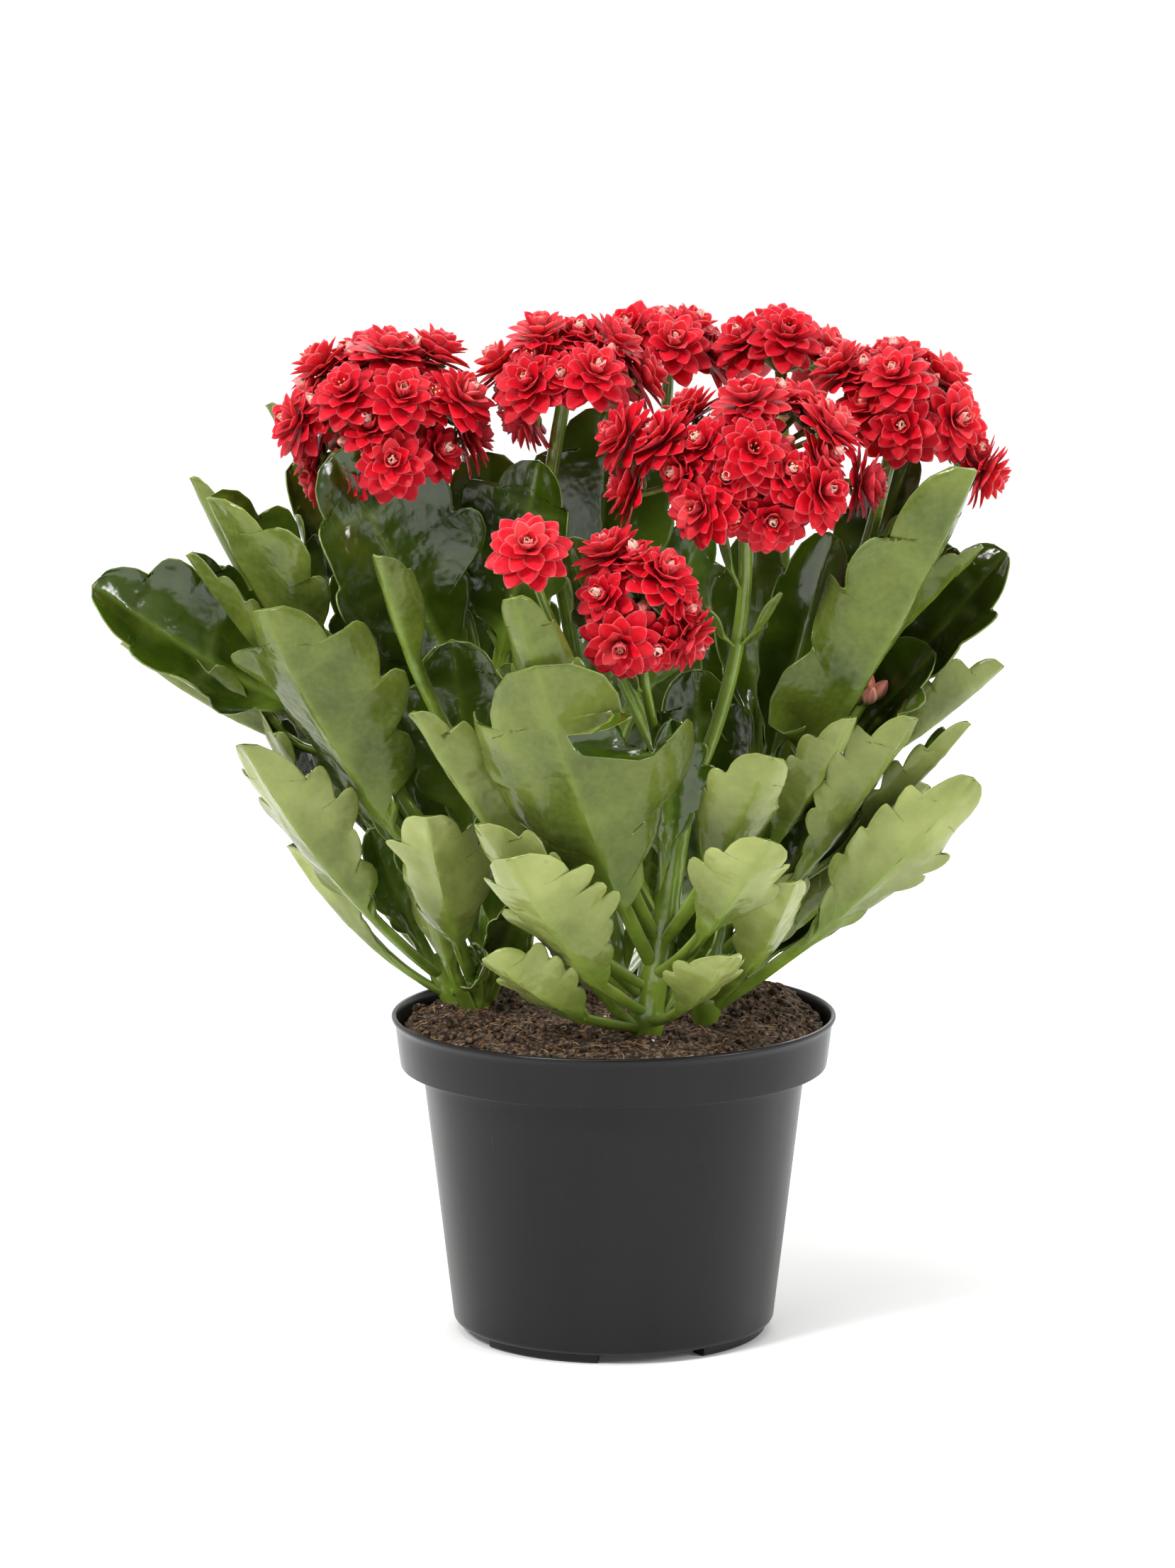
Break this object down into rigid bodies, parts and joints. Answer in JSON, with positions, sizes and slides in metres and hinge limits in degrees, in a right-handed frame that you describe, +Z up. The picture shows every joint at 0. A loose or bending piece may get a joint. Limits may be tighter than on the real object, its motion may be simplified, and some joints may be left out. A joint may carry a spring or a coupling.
{
  "type": "potted flowering houseplant",
  "caption": "Potted kalanchoe: lobed fleshy leaves on branching stems, dense heads of double red florets, and peat soil in a round anthracite nursery pot.",
  "frame": {"origin": "centre of the pot's underside, in the plane that it stands on", "axes": "+Z up along the pot's axis, -Y towards the viewer of the picture, +X to the viewer's right"},
  "size_m": [0.2446, 0.1705, 0.2785],
  "materials": {
    "pot_plastic": "satin moulded plastic, anthracite",
    "peat_soil": "crumbly damp peat with fibres",
    "leaf_green": "glossy on top, matte and paler beneath",
    "petal_red": "soft satin petals",
    "bud_pink": "satin buds, green and pink"
  },
  "bodies": {
    "root": {"pot": "pot_plastic", "soil": "peat_soil", "stem_left": "leaf_green", "stem_front": "leaf_green", "stem_right": "leaf_green", "stem_back": "leaf_green", "head_a": "petal_red", "head_b": "petal_red", "head_c": "petal_red", "head_d": "petal_red", "head_e": "petal_red", "head_f": "petal_red", "head_g": "petal_red", "head_h": "petal_red", "bud_cluster": "bud_pink"}
  },
  "joints": []
}
